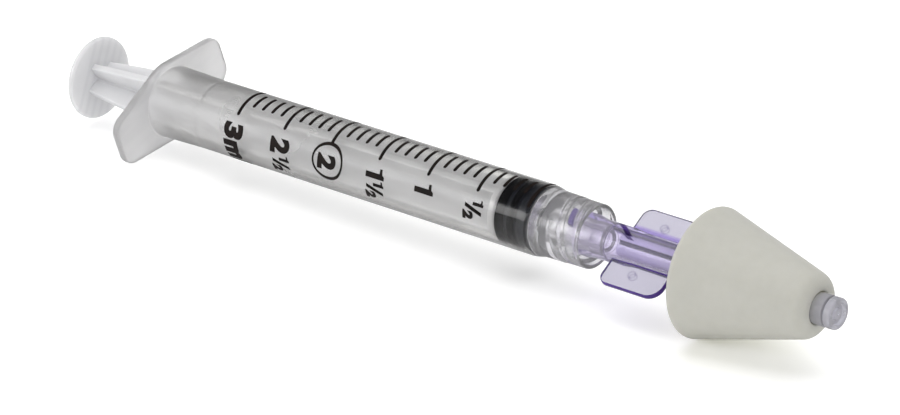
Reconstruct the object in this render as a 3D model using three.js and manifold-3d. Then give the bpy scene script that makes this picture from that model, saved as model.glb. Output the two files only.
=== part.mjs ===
// A 3 mL luer-lock syringe with a nasal atomizer screwed onto it.
// Millimetres, +Z up. The long axis runs along X: thumb rest at -X, spray nozzle at +X.
// Stations along the axis are measured from the 0 mL line, and the finished group is then
// moved so that its origin lies under the middle of its length, on the table.
import * as THREE from 'three';
import { mergeVertices } from 'three/addons/utils/BufferGeometryUtils.js';
import Module from 'manifold-3d';

// ---- Syringe barrel ----
const boreRadius = 4.30;
const barrelWall = 0.675;
const barrelLength = 69.0; // inner floor to the open rear end
const floorGap = 0.30; // stopper front to the barrel floor, at 0 mL
const floorThickness = 1.60;
const flareExtra = 0.17; // the wall is a little thicker at the flange
const flareLength = 8.0;
const shoulderLength = 1.40;
const shoulderRound = 0.10;
const ringHeight = 0.15; // the bead that stops the stopper from coming out
const ringWidth = 0.70;
const ringInset = 9.3; // bead centre from the open rear end
const mouthChamfer = 0.45;

// ---- Finger flange ----
const flangeThickness = 1.2;
const flangeHalfLength = 11.4;
const flangeHalfWidth = 6.15; // at the waist
const flangeEndHalfWidth = 3.4;
const flangeCornerRadius = 2.2;
const flangeWaistRadius = 6.0;
const flangeRoll = 20.4; // degrees, long axis up from the table

// ---- Luer lock: male tip and threaded collar on the barrel ----
const luerTipRadius = 1.985;
const luerSlope = 0.03; // radius per length, the 6% taper
const luerTipBeyondCollar = 2.3;
const channelRadius = 1.05;
const collarLength = 6.7; // past the collar cavity's floor
const collarWall = 0.50; // at the rim
const collarBaseExtra = 0.16; // the outside grows towards the barrel
const collarBandExtra = 0.10; // at the front of the thicker band
const collarBandStep = 0.07;
const collarBandLength = 3.2;
const collarRimRound = 0.20;
const luerTipChamfer = 0.13;
const threadGap = 0.50; // ridge crest to the hub
const threadHeight = 0.50;
const threadLead = 5.0;
const threadRidgeBase = 1.10;
const threadRidgeCrest = 0.60;
const threadInset = 1.40; // first ridge from the cavity floor
const threadRimInset = 0.40;

// ---- Plunger rod ----
const thumbRadius = 5.97;
const thumbThickness = 0.95;
const thumbGap = 12.9; // flange rear face to the thumb rest's front face
const thumbRound = 0.35;
const gripHeight = 0.25;
const gripWidth = 0.55;
const gripPitch = 1.45;
const gripCount = 5;
const gripMargin = 0.75;
const gripLean = -21.4; // degrees from upright
const finThickness = 1.0;
const finClearance = 0.35; // fin edge to the bore
const finEndRadius = 2.75; // at the thumb rest
const finTaperLength = 10.3;
const finAngle = 35; // degrees from upright, towards -Y
const guideThickness = 1.0;
const neckRadius = 1.3;
const headRadius = 2.0;
const headTipRadius = 1.2;
const headLength = 1.7;
const headBackset = 2.6; // head front face from the stopper's front face
const spinGap = 0.30; // axial play between rod and stopper
const holdGap = 0.25; // radial play between rod and stopper

// ---- Stopper ----
const stopperLength = 5.5;
const stopperGap = 0.03; // rib to the bore
const ribDepth = 0.42;
const ribChamfer = 0.12;
// each rib's rear and front edge, from the stopper's front face
const ribs = [[5.30, 4.00], [3.20, 2.10], [1.60, 0.35]];

// ---- Atomizer body ----
const luerGap = 0.05; // male tip to female cone
const hubInset = 3.7; // the hub's rear face, from the collar cavity's floor
const hubWall = 0.755; // at the mouth
const hubNeckWall = 0.515; // at the collar's rim
const hubChamfer = 0.15;
const hubLength = 2.6;
const hubTaperLength = 1.2;
const coneBeyondTip = 0.5;
const lugGap = 0.15; // lug to the thread's root
const lugRoot = 0.30; // how far a lug is sunk into the hub
const lugWidth = 0.85;
const lugBaseWidth = 1.05;
const lugInset = 0.65; // lug centre from the hub's rear face
const lugSpan = 44; // degrees round the hub
const atomizerLength = 42.2; // hub's rear face to the nozzle's front
const tubeBore = 1.55; // radius
const tubeWall = 0.95;
const tipTubeWall = 0.60; // the tube is slimmer at the nozzle
const tubeGap = 4.0; // collar rim to the start of the tube
const tubeStep = 0.2;
const tipTaperInset = 7.8; // start of the slimmer stretch, from the nozzle's front
const tipTaperLength = 3.0;
const wingGap = 4.3; // collar rim to the wings
const wingLength = 9.7;
const wingRadius = 6.4; // from the axis to the wing's outer edge
const wingThickness = 0.85;
const wingRearCorner = 1.4;
const wingFrontCorner = 2.0;
const wingAngle = -57; // degrees from upright, towards -Y

// ---- Nozzle tip ----
const tipHeadLength = 1.2;
const tipSeam = 0.30; // nozzle tip's head to the tube's end
const tipSkirtLength = 2.6;
const tipFit = 0.10; // radial, skirt in tube and core in tube
const tipWall = 0.40;
const tipRim = 0.60; // raised ring round the front face
const tipRecess = 0.50;
const tipRimRound = 0.30;
const tipDraft = 0.10; // the recess narrows by this towards its floor
const tipBossRadius = 0.75;
const tipBossDrop = 0.15; // boss face behind the ring's face
const tipFaceThickness = 0.45; // behind the recess
const orificeRadius = 0.16;

// ---- Swirl core ----
const coreInset = 1.8; // from the end of the luer cone
const coreChamfer = 0.30;
const coreGap = 0.30; // axial, to the nozzle tip
const coreNoseGap = 0.27; // radial, nose to the nozzle tip's skirt
const fluteCount = 3;
const fluteWidth = 0.55;
const fluteDepth = 0.45;
const swirlSlotWidth = 0.30;
const swirlSlotDepth = 0.30;

// ---- Nose plug ----
const plugLength = 18.3;
const plugInset = 3.0; // the plug's front, from the nozzle's front
const plugBaseRadius = 8.9;
const plugFrontRadius = 4.15;
const plugRimRadius = 0.7;
const plugNoseRadius = 2.0;
const plugFit = 0.10;

// ---- Facets ----
const bigFacets = 40;
const smallFacets = 32;
const threadStep = 12; // degrees of turn for each step of a ridge
const overcut = 0.5; // how far a cutting solid runs past the face it opens

// ---- Stations that follow ----
const barrelRadius = boreRadius + barrelWall;
const floorStation = floorGap;
const rearStation = floorStation - barrelLength;
const flangeFront = rearStation + flangeThickness;
const cavityFloor = floorStation + floorThickness;
const collarRim = cavityFloor + collarLength;
const luerTipStation = collarRim + luerTipBeyondCollar;
const hubMouth = cavityFloor + hubInset;
const hubRadius = luerRadius(hubMouth) + luerGap + hubWall;
const hubNeckRadius = luerRadius(collarRim) + luerGap + hubNeckWall;
const collarCrestRadius = hubRadius + threadGap;
const collarRootRadius = collarCrestRadius + threadHeight;
const collarRadius = collarRootRadius + collarWall;
const lugRadius = collarRootRadius - lugGap;
const threadLength = collarLength - threadInset - threadRimInset;
const threadMiddle = cavityFloor + threadInset + threadLength / 2;
const ringStation = rearStation + ringInset;
const thumbFront = rearStation - thumbGap;
const thumbRear = thumbFront - thumbThickness;
const endStation = thumbRear - gripHeight;
const stopperRear = -stopperLength;
const finRadius = boreRadius - finClearance;
const guideFront = stopperRear - spinGap;
const nozzleFront = hubMouth + atomizerLength;
const tubeStart = collarRim + tubeGap;
const tubeEnd = nozzleFront - tipHeadLength - tipSeam;
const tubeRadius = tubeBore + tubeWall;
const tipTubeRadius = tubeBore + tipTubeWall;
const tipTaperStart = nozzleFront - tipTaperInset;
const wingRear = collarRim + wingGap;
const coneEnd = luerTipStation + coneBeyondTip;
const skirtRadius = tubeBore - tipFit;
const cupRadius = skirtRadius - tipWall;
const skirtRear = nozzleFront - tipHeadLength - tipSkirtLength;
const recessFloor = nozzleFront - tipRecess;
const chamberFloor = recessFloor - tipFaceThickness;
const plugFront = nozzleFront - plugInset;
const plugRear = plugFront - plugLength;

// The male luer cone's radius at a station.
function luerRadius(station) {
  return luerTipRadius + luerSlope * (luerTipStation - station);
}

const wasm = await Module();
wasm.setup();

// A closed manifold from a three.js geometry, turned right side out.
function solid(geometry) {
  const bare = geometry.clone();
  bare.deleteAttribute('normal');
  bare.deleteAttribute('uv');
  const merged = mergeVertices(bare, 1e-4);
  const corners = merged.attributes.position.array;
  const faces = [];
  let volume = 0;
  for (let i = 0; i < merged.index.count; i += 3) {
    const [a, b, c] = [0, 1, 2].map((k) => merged.index.getX(i + k));
    if (a === b || b === c || c === a) continue;
    faces.push([a, b, c]);
    const [p, q, r] = [a, b, c].map((k) => new THREE.Vector3().fromArray(corners, 3 * k));
    volume += p.dot(q.cross(r));
  }
  const outward = volume < 0 ? faces.map(([a, b, c]) => [a, c, b]) : faces;
  return new wasm.Manifold(new wasm.Mesh({
    numProp: 3,
    vertProperties: new Float32Array(corners),
    triVerts: new Uint32Array(outward.flat()),
  }));
}

// The named mesh of a finished manifold, in its own material.
function node(name, body, look) {
  const { vertProperties, triVerts } = body.getMesh();
  const geometry = new THREE.BufferGeometry();
  geometry.setAttribute('position', new THREE.BufferAttribute(vertProperties, 3));
  geometry.setIndex(new THREE.BufferAttribute(triVerts, 1));
  geometry.computeVertexNormals();
  const mesh = new THREE.Mesh(geometry, new THREE.MeshStandardMaterial(look));
  mesh.name = name;
  return mesh;
}

// A solid of revolution about X from [station, radius] points. The outline closes on itself.
function turned(outline, facets = bigFacets) {
  const points = outline.map(([x, r]) => new THREE.Vector2(r, x));
  points.push(points[0].clone());
  return solid(new THREE.LatheGeometry(points, facets).rotateZ(-Math.PI / 2));
}

function rod(from, to, radius, facets = bigFacets) {
  return turned([[from, 0], [from, radius], [to, radius], [to, 0]], facets);
}

// Points of a round corner on a turned outline: centre, radius, and start and end angle in
// degrees, where 0 points along +X and 90 points away from the axis.
function roundCorner(x, r, radius, start, end, steps = 4) {
  return Array.from({ length: steps + 1 }, (_, i) => {
    const angle = THREE.MathUtils.degToRad(start + ((end - start) * i) / steps);
    return [x + radius * Math.cos(angle), r + radius * Math.sin(angle)];
  });
}

// Turns a solid about the X axis, from upright towards -Y.
function rolled(body, degrees) {
  return body.rotate([degrees, 0, 0]);
}

// A flat plate in the XZ plane, centred on it, from a shape drawn in (x, z).
function plate(shape, thickness) {
  const geometry = new THREE.ExtrudeGeometry(shape, {
    depth: thickness, bevelEnabled: false, curveSegments: 5,
  });
  geometry.translate(0, 0, -thickness / 2);
  geometry.rotateX(Math.PI / 2);
  return solid(geometry);
}

// A helical ridge about X, right-handed. Its section is a trapezium from the inner to the outer
// radius, and its centre passes the station at the middle of its span.
function ridge({ inner, outer, innerWidth, outerWidth, station, middle, span }) {
  const steps = Math.ceil(span / threadStep);
  const vertices = [];
  for (let i = 0; i <= steps; i += 1) {
    const turn = span * (i / steps - 0.5);
    const angle = THREE.MathUtils.degToRad(middle + turn);
    const x = station + (threadLead * turn) / 360;
    for (const [dx, r] of [
      [-outerWidth / 2, outer], [outerWidth / 2, outer],
      [innerWidth / 2, inner], [-innerWidth / 2, inner],
    ]) {
      vertices.push(x + dx, r * Math.cos(angle), r * Math.sin(angle));
    }
  }
  const faces = [];
  for (let i = 0; i < steps; i += 1) {
    for (let k = 0; k < 4; k += 1) {
      const a = 4 * i + k;
      const b = 4 * i + ((k + 1) % 4);
      faces.push(a, b, b + 4, a, b + 4, a + 4);
    }
  }
  const last = 4 * steps;
  faces.push(0, 2, 1, 0, 3, 2, last, last + 1, last + 2, last, last + 2, last + 3);
  const geometry = new THREE.BufferGeometry();
  geometry.setAttribute('position', new THREE.Float32BufferAttribute(vertices, 3));
  geometry.setIndex(faces);
  return solid(geometry);
}

// The finger flange's outline: a long six-sided lozenge with round corners.
function flangeShape() {
  const corners = [
    [0, flangeHalfWidth, flangeWaistRadius],
    [-flangeHalfLength, flangeEndHalfWidth, flangeCornerRadius],
    [-flangeHalfLength, -flangeEndHalfWidth, flangeCornerRadius],
    [0, -flangeHalfWidth, flangeWaistRadius],
    [flangeHalfLength, -flangeEndHalfWidth, flangeCornerRadius],
    [flangeHalfLength, flangeEndHalfWidth, flangeCornerRadius],
  ];
  const shape = new THREE.Shape();
  corners.forEach(([x, y, radius], i) => {
    const here = new THREE.Vector2(x, y);
    const before = new THREE.Vector2(...corners.at(i - 1)).sub(here).normalize();
    const after = new THREE.Vector2(...corners[(i + 1) % corners.length]).sub(here).normalize();
    const half = Math.acos(before.dot(after)) / 2;
    const run = radius / Math.tan(half);
    const start = here.clone().addScaledVector(before, run);
    const end = here.clone().addScaledVector(after, run);
    const toCentre = before.clone().add(after).normalize();
    const centre = here.clone().addScaledVector(toCentre, radius / Math.sin(half));
    if (i === 0) shape.moveTo(start.x, start.y);
    else shape.lineTo(start.x, start.y);
    shape.absarc(centre.x, centre.y, radius,
      start.sub(centre).angle(), end.sub(centre).angle(), false);
  });
  return shape;
}

// The barrel is one moulding: tube, finger flange, male luer tip and threaded collar.
function barrel() {
  const edge = shoulderLength / 2;
  const band = cavityFloor + collarBandLength;
  const outside = turned([
    [rearStation, 0],
    [rearStation, barrelRadius + flareExtra],
    [flangeFront + 1, barrelRadius + flareExtra],
    [flangeFront + flareLength, barrelRadius],
    [cavityFloor - shoulderLength - edge, barrelRadius],
    [cavityFloor - shoulderLength, barrelRadius - shoulderRound],
    [cavityFloor - edge / 2, collarRadius + collarBaseExtra],
    [band, collarRadius + collarBandExtra],
    [band + collarBandStep, collarRadius + collarBandExtra - collarBandStep],
    ...roundCorner(collarRim - collarRimRound, collarRadius - collarRimRound, collarRimRound,
      90, 0, 2),
    [collarRim, 0],
  ]);
  const flange = new THREE.ExtrudeGeometry(flangeShape(), {
    depth: flangeThickness, bevelEnabled: false, curveSegments: 6,
  });
  // drawn in (y, z), so the extrusion runs along +X
  flange.applyMatrix4(new THREE.Matrix4().set(
    0, 0, 1, rearStation,
    1, 0, 0, 0,
    0, 1, 0, 0,
    0, 0, 0, 1,
  ));
  const ring = [ringStation - ringWidth / 2, ringStation + ringWidth / 2];
  const bore = turned([
    [rearStation - overcut, 0],
    [rearStation - overcut, boreRadius + mouthChamfer],
    [rearStation, boreRadius + mouthChamfer],
    [rearStation + 2 * mouthChamfer, boreRadius],
    [ring[0], boreRadius],
    [ringStation, boreRadius - ringHeight],
    [ring[1], boreRadius],
    [floorStation, boreRadius],
    [floorStation, 0],
  ]);
  const cavity = rod(cavityFloor, collarRim + overcut, collarRootRadius);
  const tip = turned([
    [cavityFloor - overcut, 0],
    [cavityFloor - overcut, luerRadius(cavityFloor)],
    [cavityFloor, luerRadius(cavityFloor)],
    [luerTipStation - luerTipChamfer, luerRadius(luerTipStation - luerTipChamfer)],
    [luerTipStation, luerTipRadius - luerTipChamfer],
    [luerTipStation, 0],
  ], smallFacets);
  const channel = rod(floorStation - overcut, luerTipStation + overcut, channelRadius, smallFacets);
  const thread = {
    inner: collarCrestRadius,
    outer: collarRootRadius + collarWall / 2,
    innerWidth: threadRidgeCrest,
    outerWidth: threadRidgeBase,
    station: threadMiddle,
    span: (360 * threadLength) / threadLead,
  };
  const starts = [0, 180].map((middle) => ridge({ ...thread, middle }));
  return outside
    .add(rolled(solid(flange), flangeRoll))
    .subtract(bore)
    .subtract(cavity)
    .add(tip)
    .subtract(channel)
    .add(starts[0])
    .add(starts[1]);
}

// The plunger rod is one moulding: thumb rest with grip bars, cross-shaped stem with tapering
// fins, a round guide, and the button that the stopper snaps over.
function plungerRod() {
  const rest = turned([
    [thumbRear, 0],
    ...roundCorner(thumbRear + thumbRound, thumbRadius - thumbRound, thumbRound, 180, 90, 3),
    ...roundCorner(thumbFront - thumbRound, thumbRadius - thumbRound, thumbRound, 90, 0, 3),
    [thumbFront, 0],
  ]);
  const bars = Array.from({ length: gripCount }, (_, i) => {
    const offset = gripPitch * (i - (gripCount - 1) / 2);
    const bar = new THREE.BoxGeometry(gripHeight + overcut, gripWidth, 2 * thumbRadius);
    return solid(bar.translate(endStation + (gripHeight + overcut) / 2, offset, 0));
  }).reduce((all, bar) => all.add(bar));
  const trimmed = rolled(bars, gripLean)
    .intersect(rod(endStation - overcut, thumbFront, thumbRadius - gripMargin));
  const outline = new THREE.Shape([
    [thumbFront - thumbRound, -finEndRadius],
    [thumbFront + finTaperLength, -finRadius],
    [guideFront - guideThickness / 2, -finRadius],
    [guideFront - guideThickness / 2, finRadius],
    [thumbFront + finTaperLength, finRadius],
    [thumbFront - thumbRound, finEndRadius],
  ].map(([x, z]) => new THREE.Vector2(x, z)));
  const fins = plate(outline, finThickness);
  const button = turned([
    [guideFront - guideThickness, 0],
    [guideFront - guideThickness, finRadius],
    [guideFront, finRadius],
    [guideFront, neckRadius],
    [-headBackset - headLength, neckRadius],
    [-headBackset - headLength, headRadius],
    [-headBackset - headLength / 2, headRadius],
    [-headBackset, headTipRadius],
    [-headBackset, 0],
  ], smallFacets);
  return rest
    .add(trimmed)
    .add(rolled(fins, finAngle))
    .add(rolled(fins, finAngle + 90))
    .add(button);
}

// The stopper: sealing ribs on the outside, and a blind pocket that holds the rod's button.
function stopper() {
  const ribRadius = boreRadius - stopperGap;
  const outline = [[stopperRear, neckRadius + holdGap], [stopperRear, ribRadius - ribDepth]];
  for (const [rear, front] of ribs) {
    outline.push([-rear - ribChamfer, ribRadius - ribDepth]);
    outline.push([-rear + ribChamfer, ribRadius]);
    outline.push([-front - ribChamfer, ribRadius]);
    outline.push([-front + ribChamfer, ribRadius - ribDepth]);
  }
  const pocketRear = -headBackset - headLength - spinGap;
  const pocketFront = -headBackset + spinGap;
  outline.push(
    [0, ribRadius - ribDepth - ribChamfer],
    [0, 0],
    [pocketFront, 0],
    [pocketFront, headTipRadius + holdGap],
    [-headBackset - headLength / 2, headRadius + holdGap],
    [pocketRear, headRadius + holdGap],
    [pocketRear, neckRadius + holdGap],
  );
  return turned(outline);
}

// One wing plate through the axis, with round corners.
function wingShape() {
  const front = wingRear + wingLength;
  const shape = new THREE.Shape();
  shape.moveTo(wingRear, 0);
  shape.absarc(wingRear + wingRearCorner, -wingRadius + wingRearCorner, wingRearCorner,
    Math.PI, 1.5 * Math.PI, false);
  shape.absarc(front - wingFrontCorner, -wingRadius + wingFrontCorner, wingFrontCorner,
    1.5 * Math.PI, 2 * Math.PI, false);
  shape.absarc(front - wingFrontCorner, wingRadius - wingFrontCorner, wingFrontCorner,
    0, 0.5 * Math.PI, false);
  shape.absarc(wingRear + wingRearCorner, wingRadius - wingRearCorner, wingRearCorner,
    0.5 * Math.PI, Math.PI, false);
  return shape;
}

// The atomizer body is one moulding: female luer hub with two lugs, finger wings and the tube.
function atomizerBody() {
  const outside = turned([
    [hubMouth, 0],
    [hubMouth, hubRadius - hubChamfer],
    [hubMouth + hubChamfer, hubRadius],
    [hubMouth + hubLength, hubRadius],
    [hubMouth + hubLength + hubTaperLength, hubNeckRadius],
    [tubeStart - tubeStep, hubNeckRadius],
    [tubeStart, tubeRadius],
    [tipTaperStart, tubeRadius],
    [tipTaperStart + tipTaperLength, tipTubeRadius],
    [tubeEnd, tipTubeRadius],
    [tubeEnd, 0],
  ], smallFacets);
  const inside = turned([
    [hubMouth - overcut, 0],
    [hubMouth - overcut, luerRadius(hubMouth - overcut) + luerGap],
    [coneEnd, luerRadius(coneEnd) + luerGap],
    [coneEnd, tubeBore],
    [tubeEnd + overcut, tubeBore],
    [tubeEnd + overcut, 0],
  ], smallFacets);
  // each lug sits midway between two turns of the collar's thread
  const station = hubMouth + lugInset;
  const middle = (360 * (station + threadLead / 4 - threadMiddle)) / threadLead;
  const lugs = [0, 180].map((turn) => ridge({
    inner: hubRadius - lugRoot,
    outer: lugRadius,
    innerWidth: lugBaseWidth,
    outerWidth: lugWidth,
    station,
    middle: middle + turn,
    span: lugSpan,
  }));
  return outside
    .add(rolled(plate(wingShape(), wingThickness), wingAngle))
    .add(lugs[0])
    .add(lugs[1])
    .subtract(inside);
}

// The nozzle tip: a stepped cap whose skirt fits in the tube, with a fine spray hole.
function nozzleTip() {
  const headRear = nozzleFront - tipHeadLength;
  return turned([
    [skirtRear, cupRadius],
    [skirtRear, skirtRadius],
    [headRear, skirtRadius],
    [headRear, tipTubeRadius],
    ...roundCorner(nozzleFront - tipRimRound, tipTubeRadius - tipRimRound, tipRimRound, 90, 0, 3),
    [nozzleFront, tipTubeRadius - tipRim],
    [recessFloor, tipTubeRadius - tipRim - tipDraft],
    [recessFloor, tipBossRadius + tipDraft],
    [nozzleFront - tipBossDrop, tipBossRadius],
    [nozzleFront - tipBossDrop, orificeRadius],
    [chamberFloor, orificeRadius],
    [chamberFloor, cupRadius],
  ], smallFacets);
}

// The swirl core fills the tube. Flutes carry the liquid past it, and slots across its nose
// make the liquid spin before it reaches the spray hole.
function swirlCore() {
  const start = coneEnd + coreInset;
  const shoulder = skirtRear - coreGap;
  const nose = chamberFloor - coreGap;
  const noseRadius = cupRadius - coreNoseGap;
  let body = turned([
    [start, 0],
    [start, skirtRadius - coreChamfer],
    [start + coreChamfer, skirtRadius],
    [shoulder, skirtRadius],
    [shoulder, noseRadius],
    [nose, noseRadius],
    [nose, 0],
  ], smallFacets);
  for (let i = 0; i < fluteCount; i += 1) {
    const flute = new THREE.BoxGeometry(
      shoulder - start + 2 * overcut, fluteWidth, fluteDepth + overcut);
    flute.translate((shoulder + start) / 2, 0, skirtRadius + (overcut - fluteDepth) / 2);
    body = body.subtract(rolled(solid(flute), (360 * i) / fluteCount));
  }
  for (const turn of [0, 90]) {
    const slot = new THREE.BoxGeometry(2 * swirlSlotDepth, swirlSlotWidth, 2 * skirtRadius);
    body = body.subtract(rolled(solid(slot.translate(nose, 0, 0)), turn));
  }
  return body;
}

// The nose plug: a soft round cone with a passage for the tube.
function nosePlug() {
  const lean = Math.atan2(plugBaseRadius - plugFrontRadius, plugFront - plugRear);
  const leanDegrees = THREE.MathUtils.radToDeg(lean);
  const rimStation = plugRear + plugRimRadius;
  const noseCentre = plugFrontRadius + plugNoseRadius * (Math.tan(lean) - 1 / Math.cos(lean));
  return turned([
    [plugRear, tubeRadius + plugFit],
    ...roundCorner(rimStation, plugBaseRadius - plugRimRadius, plugRimRadius, 180, 90),
    [rimStation + plugRimRadius * Math.sin(lean),
      plugBaseRadius - plugRimRadius * (1 - Math.cos(lean))],
    ...roundCorner(plugFront - plugNoseRadius, noseCentre, plugNoseRadius,
      90 - leanDegrees, 0, 5),
    [plugFront, tipTubeRadius + plugFit],
    [tipTaperStart + tipTaperLength, tipTubeRadius + plugFit],
    [tipTaperStart, tubeRadius + plugFit],
  ]);
}

const clearPlastic = { color: 0xc4c6c8, roughness: 0.3, metalness: 0, transparent: true, opacity: 0.55 };
const milkyPlastic = { color: 0xcbcaca, roughness: 0.45, metalness: 0 };
const blackRubber = { color: 0x101014, roughness: 0.35, metalness: 0 };
const violetPlastic = { color: 0xaaa2cf, roughness: 0.2, metalness: 0, transparent: true, opacity: 0.7 };
const coreViolet = { color: 0x8478b4, roughness: 0.25, metalness: 0 };
const softPlug = { color: 0xc6c6c1, roughness: 0.75, metalness: 0 };

const group = new THREE.Group();
group.add(
  node('syringe_barrel', barrel(), clearPlastic),
  node('plunger_rod', plungerRod(), milkyPlastic),
  node('rubber_stopper', stopper(), blackRubber),
  node('atomizer_body', atomizerBody(), violetPlastic),
  node('swirl_core', swirlCore(), coreViolet),
  node('nozzle_tip', nozzleTip(), violetPlastic),
  node('nose_plug', nosePlug(), softPlug),
);
group.position.set(-(endStation + nozzleFront) / 2, 0, plugBaseRadius);

export default group;
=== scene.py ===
import math

import bmesh
import bpy
import numpy as np
from mathutils import Matrix, Vector


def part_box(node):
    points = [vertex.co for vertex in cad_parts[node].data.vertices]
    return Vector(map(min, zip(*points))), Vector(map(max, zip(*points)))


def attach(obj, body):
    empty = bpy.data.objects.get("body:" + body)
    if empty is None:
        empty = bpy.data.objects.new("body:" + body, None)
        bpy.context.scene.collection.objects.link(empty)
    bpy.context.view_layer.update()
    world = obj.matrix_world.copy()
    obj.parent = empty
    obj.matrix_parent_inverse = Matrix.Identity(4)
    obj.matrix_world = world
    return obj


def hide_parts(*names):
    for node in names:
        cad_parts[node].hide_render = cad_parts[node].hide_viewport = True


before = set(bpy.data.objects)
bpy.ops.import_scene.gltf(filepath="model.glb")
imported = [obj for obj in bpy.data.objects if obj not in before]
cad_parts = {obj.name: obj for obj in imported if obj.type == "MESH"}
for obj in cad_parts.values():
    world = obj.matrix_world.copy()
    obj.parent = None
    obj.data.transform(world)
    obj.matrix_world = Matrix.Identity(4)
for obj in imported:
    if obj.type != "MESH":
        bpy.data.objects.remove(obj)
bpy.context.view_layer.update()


# ---- Table, lights and camera ----
# A seamless white table under soft boxes. The syringe lies on the rim of the nose plug and on
# one low corner of its finger flange, so the table leans a little under the level axis.
mm = 0.001
plug_low, plug_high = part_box("nose_plug")
barrel_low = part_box("syringe_barrel")[0]
zero_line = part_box("rubber_stopper")[1].x
axis_height = (plug_low.z + plug_high.z) / 2
plug_rim_round = 0.7 * mm
rest_x = plug_low.x + plug_rim_round
table_lean = (barrel_low.z - plug_low.z) / (rest_x - barrel_low.x)
table_gap = 0.02 * mm
table_side = 1.6
table_backlight = 0.26  # only the camera sees it, and it keeps the table white
mirrored_table = (0.66, 0.66, 0.66, 1)
room_strength, mirrored_room_loss = 0.8, 0.20
camera_place = (0.377724, -0.455053, 0.251550)
camera_heading, camera_tilt, camera_roll = 39.6265, 22.5426, 0.3  # degrees
camera_lens, camera_sensor = 188.96, 36


def add(tree, kind, inputs=None, **settings):
    """A node of a tree, with its settings, and its inputs set or linked by name or number."""
    made = tree.nodes.new(kind)
    for name, value in settings.items():
        setattr(made, name, value)
    for key, value in (inputs or {}).items():
        if isinstance(value, bpy.types.NodeSocket):
            tree.links.new(value, made.inputs[key])
        else:
            made.inputs[key].default_value = value
    return made


def sum_of(tree, operation, *values):
    """One Math node; each value is a number or a socket."""
    return add(tree, "ShaderNodeMath", dict(enumerate(values)), operation=operation).outputs[0]


def own_place(tree):
    """A point's place on its own object, whose origin is the frame's."""
    return add(tree, "ShaderNodeTexCoord").outputs["Object"]


def split(tree, vector):
    """The X, Y and Z of a vector."""
    return add(tree, "ShaderNodeSeparateXYZ", {0: vector}).outputs


def relief_of(tree, height, strength, depth):
    """The normal of a fine relief whose depth is in mm."""
    return add(tree, "ShaderNodeBump", {
        "Height": height, "Strength": strength, "Distance": depth * mm}).outputs["Normal"]


def mirrored_rays(tree):
    """1 on a ray that has been mirrored, and 0 on any other."""
    times = add(tree, "ShaderNodeLightPath").outputs["Glossy Depth"]
    return sum_of(tree, "GREATER_THAN", times, 0.5)


def in_scene(name, data):
    """A new object at the origin, in the scene."""
    made = bpy.data.objects.new(name, data)
    bpy.context.scene.collection.objects.link(made)
    return made


def new_material(name):
    """An empty node material with its output, ready for its own shaders."""
    material = bpy.data.materials.new(name)
    material.use_nodes = True
    material.node_tree.nodes.clear()
    return material, material.node_tree


def finish_material(tree, shader):
    add(tree, "ShaderNodeOutputMaterial", {"Surface": shader})


def colours(tree, factor, *stops):
    """A smooth run of colours: each stop is a place from 0 to 1 and a colour."""
    ramp = add(tree, "ShaderNodeValToRGB", {"Fac": factor})
    while len(ramp.color_ramp.elements) < len(stops):
        ramp.color_ramp.elements.new(0.5)
    for element, (place, colour) in zip(ramp.color_ramp.elements, stops):
        element.position = place
        element.color = (*colour, 1)
    return ramp.outputs["Color"]


table_material, tree = new_material("table_sheet")
place = own_place(tree)
cloud = add(tree, "ShaderNodeTexNoise", {"Vector": place, "Scale": 9.0, "Detail": 3.0})
tooth = add(tree, "ShaderNodeTexNoise", {"Vector": place, "Scale": 1400.0, "Detail": 2.0})
paper = add(tree, "ShaderNodeBsdfPrincipled", {
    "Base Color": colours(tree, cloud.outputs["Fac"], (0.3, (0.93, 0.93, 0.925)),
                          (0.7, (0.945, 0.945, 0.94))),
    "Roughness": 0.75,
    "Normal": relief_of(tree, tooth.outputs["Fac"], 0.05, 0.2),
})
seen = add(tree, "ShaderNodeLightPath").outputs["Is Camera Ray"]
backlight = add(tree, "ShaderNodeEmission", {
    "Color": (1, 1, 1, 1), "Strength": sum_of(tree, "MULTIPLY", seen, table_backlight)})
lit = add(tree, "ShaderNodeAddShader", {0: paper.outputs[0], 1: backlight.outputs[0]})
dim = add(tree, "ShaderNodeBsdfDiffuse", {"Color": mirrored_table})
sheet = add(tree, "ShaderNodeMixShader", {
    0: mirrored_rays(tree), 1: lit.outputs[0], 2: dim.outputs[0]})
finish_material(tree, sheet.outputs[0])

table_mesh = bpy.data.meshes.new("table")
half = table_side / 2
corners = []
for x, y in ((-half, -half), (half, -half), (half, half), (-half, half)):
    corners.append((x, y, plug_low.z - table_gap + table_lean * (rest_x - x)))
table_mesh.from_pydata(corners, [], [(0, 1, 2, 3)])
table_mesh.materials.append(table_material)
table = in_scene("table", table_mesh)

world = bpy.data.worlds.new("studio")
world.use_nodes = True
tree = world.node_tree
tree.nodes.clear()
height = split(tree, add(tree, "ShaderNodeTexCoord").outputs["Generated"])["Z"]
room = colours(tree, height, (0.0, (0.42, 0.42, 0.42)), (0.3, (0.28, 0.28, 0.28)),
               (0.7, (0.16, 0.16, 0.165)), (1.0, (0.14, 0.14, 0.145)))
loss = sum_of(tree, "MULTIPLY", mirrored_rays(tree), mirrored_room_loss)
glow = add(tree, "ShaderNodeBackground", {
    "Color": room, "Strength": sum_of(tree, "SUBTRACT", room_strength, loss)})
add(tree, "ShaderNodeOutputWorld", {"Surface": glow.outputs[0]})
bpy.context.scene.world = world


def soft_box(name, place, width, depth, watts, mirrored=True):
    """A rectangular soft box at a place, turned to face the origin. One that isn't mirrored
    lights the pieces but isn't seen in their gloss, as if a polarizing sheet covered it."""
    lamp = bpy.data.lights.new(name, "AREA")
    lamp.shape = "RECTANGLE"
    lamp.size, lamp.size_y, lamp.energy = width, depth, watts
    holder = in_scene(name, lamp)
    holder.location = place
    holder.rotation_euler = (-Vector(place)).to_track_quat("-Z", "Y").to_euler()
    holder.visible_glossy = holder.visible_transmission = mirrored


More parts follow.
